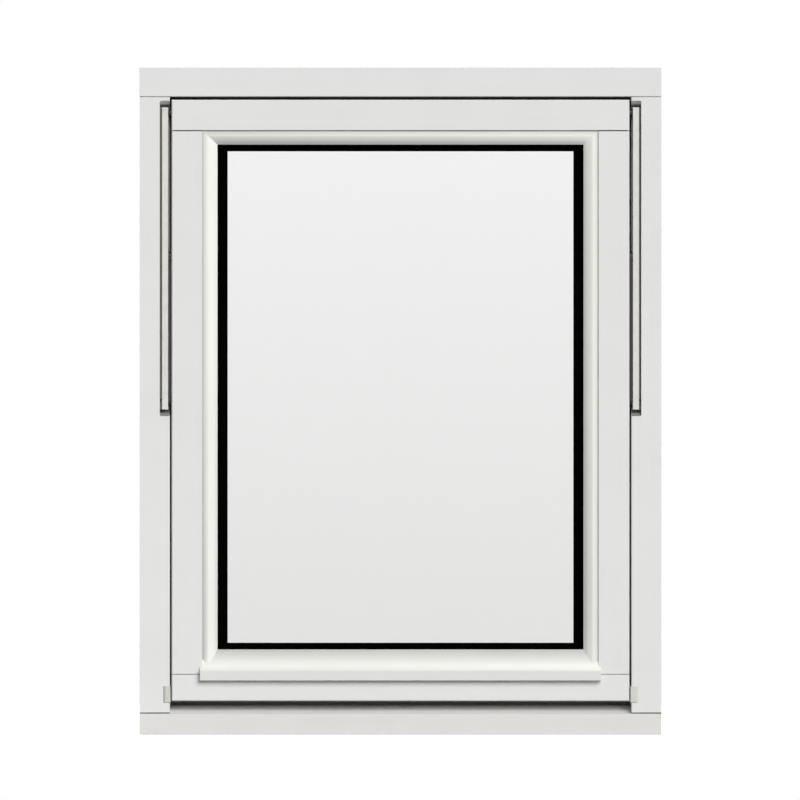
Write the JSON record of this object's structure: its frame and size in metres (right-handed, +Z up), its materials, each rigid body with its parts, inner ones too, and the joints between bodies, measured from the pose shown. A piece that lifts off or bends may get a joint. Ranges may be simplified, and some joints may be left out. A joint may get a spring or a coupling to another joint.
{
  "type": "top-hung window",
  "caption": "Outward-opening top-guided timber window: painted frame, double-glazed sash with glazing beads and drip nose, sliding side hinges and a lever-operated bolt lock.",
  "frame": {"origin": "middle of the frame's underside", "axes": "+Z up, the outside faces -Y, +X to the right as seen from outside"},
  "size_m": [0.626, 0.124, 0.8],
  "materials": {
    "white_paint": "satin white paint",
    "bare_wood": "bare beech",
    "black_rubber": "matt black",
    "black_plastic": "matt black",
    "clear_glass": "clear float",
    "anodised_aluminium": "satin",
    "zinc_grey": "satin grey",
    "steel": "zinc plated",
    "dark_steel": "black coated",
    "brass": "turned"
  },
  "bodies": {
    "frame": {"frame_head": "white_paint", "frame_jamb_left": "white_paint", "frame_jamb_right": "white_paint", "frame_sill": "white_paint", "frame_corner_screws": "steel", "weather_seal": "black_rubber", "hinge_track_left": "anodised_aluminium", "hinge_track_right": "anodised_aluminium", "track_screws": "steel", "arm_pivot_pin_left": "dark_steel", "arm_pivot_pin_right": "dark_steel", "keep_left": "zinc_grey", "keep_right": "zinc_grey", "keep_screws": "steel"},
    "sash": {"sash_top_rail": "white_paint", "sash_bottom_rail": "white_paint", "sash_stile_left": "white_paint", "sash_stile_right": "white_paint", "sash_corner_dowels": "bare_wood", "glazing_bead_top": "white_paint", "glazing_bead_left": "white_paint", "glazing_bead_right": "white_paint", "glazing_bead_bottom": "white_paint", "bead_pins": "steel", "outer_gasket": "black_rubber", "inner_glazing_tape": "black_rubber", "outer_pane": "clear_glass", "inner_pane": "clear_glass", "spacer_frame": "black_plastic", "edge_sealant": "black_rubber", "setting_blocks": "black_plastic", "hinge_plate_left": "steel", "hinge_plate_right": "steel", "hinge_plate_screws": "steel", "shoe_pin_left": "dark_steel", "shoe_pin_right": "dark_steel", "arm_pin_left": "dark_steel", "arm_pin_right": "dark_steel", "lock_case": "steel", "lock_cover": "steel", "lock_face_plate": "steel", "face_plate_screws": "steel", "handle_rose": "anodised_aluminium", "rose_screws": "steel"},
    "arm_left": {"hinge_arm_left": "dark_steel"},
    "arm_right": {"hinge_arm_right": "dark_steel"},
    "shoe_left": {"slide_shoe_left": "black_plastic", "brake_screw_left": "brass"},
    "shoe_right": {"slide_shoe_right": "black_plastic", "brake_screw_right": "brass"},
    "handle": {"handle_lever": "anodised_aluminium", "handle_spindle": "steel", "drive_pinion": "steel"},
    "rod_left": {"lock_rod_left": "steel", "lock_bolt_left": "zinc_grey"},
    "rod_right": {"lock_rod_right": "steel", "lock_bolt_right": "zinc_grey"}
  },
  "joints": [
    {"name": "arm_left_swing", "type": "hinge", "parent": "frame", "child": "arm_left", "pos_m": [-0.2767, -0.0465, 0.4008], "axis": [1, 0, 0], "range_deg": [0, 60]},
    {"name": "sash_swing", "type": "hinge", "parent": "arm_left", "child": "sash", "pos_m": [-0.2767, -0.0465, 0.57335], "axis": [-1, 0, 0], "range_deg": [0, 120]},
    {"name": "shoe_left_turn", "type": "hinge", "parent": "sash", "child": "shoe_left", "pos_m": [-0.2828, -0.0465, 0.7459], "axis": [1, 0, 0], "range_deg": [0, 60]},
    {"name": "shoe_right_turn", "type": "hinge", "parent": "sash", "child": "shoe_right", "pos_m": [0.2828, -0.0465, 0.7459], "axis": [1, 0, 0], "range_deg": [0, 60]},
    {"name": "arm_right_swing", "type": "hinge", "parent": "frame", "child": "arm_right", "pos_m": [0.2767, -0.0465, 0.4008], "axis": [1, 0, 0], "range_deg": [0, 60]},
    {"name": "handle_turn", "type": "hinge", "parent": "sash", "child": "handle", "pos_m": [0, 0, 0.063], "axis": [0, 1, 0], "range_deg": [0, 90]},
    {"name": "rod_left_slide", "type": "slide", "parent": "sash", "child": "rod_left", "axis": [-1, 0, 0], "range_m": [0, 0.01273]},
    {"name": "rod_right_slide", "type": "slide", "parent": "sash", "child": "rod_right", "axis": [1, 0, 0], "range_m": [0, 0.01273]}
  ],
  "couplings": [
    {"joint": "arm_left_swing", "follows": "sash_swing", "ratio": 0.5},
    {"joint": "arm_right_swing", "follows": "sash_swing", "ratio": 0.5},
    {"joint": "shoe_left_turn", "follows": "sash_swing", "ratio": 0.5},
    {"joint": "shoe_right_turn", "follows": "sash_swing", "ratio": 0.5},
    {"joint": "rod_left_slide", "follows": "handle_turn", "m_per_rad": 0.0081},
    {"joint": "rod_right_slide", "follows": "handle_turn", "m_per_rad": 0.0081}
  ]
}
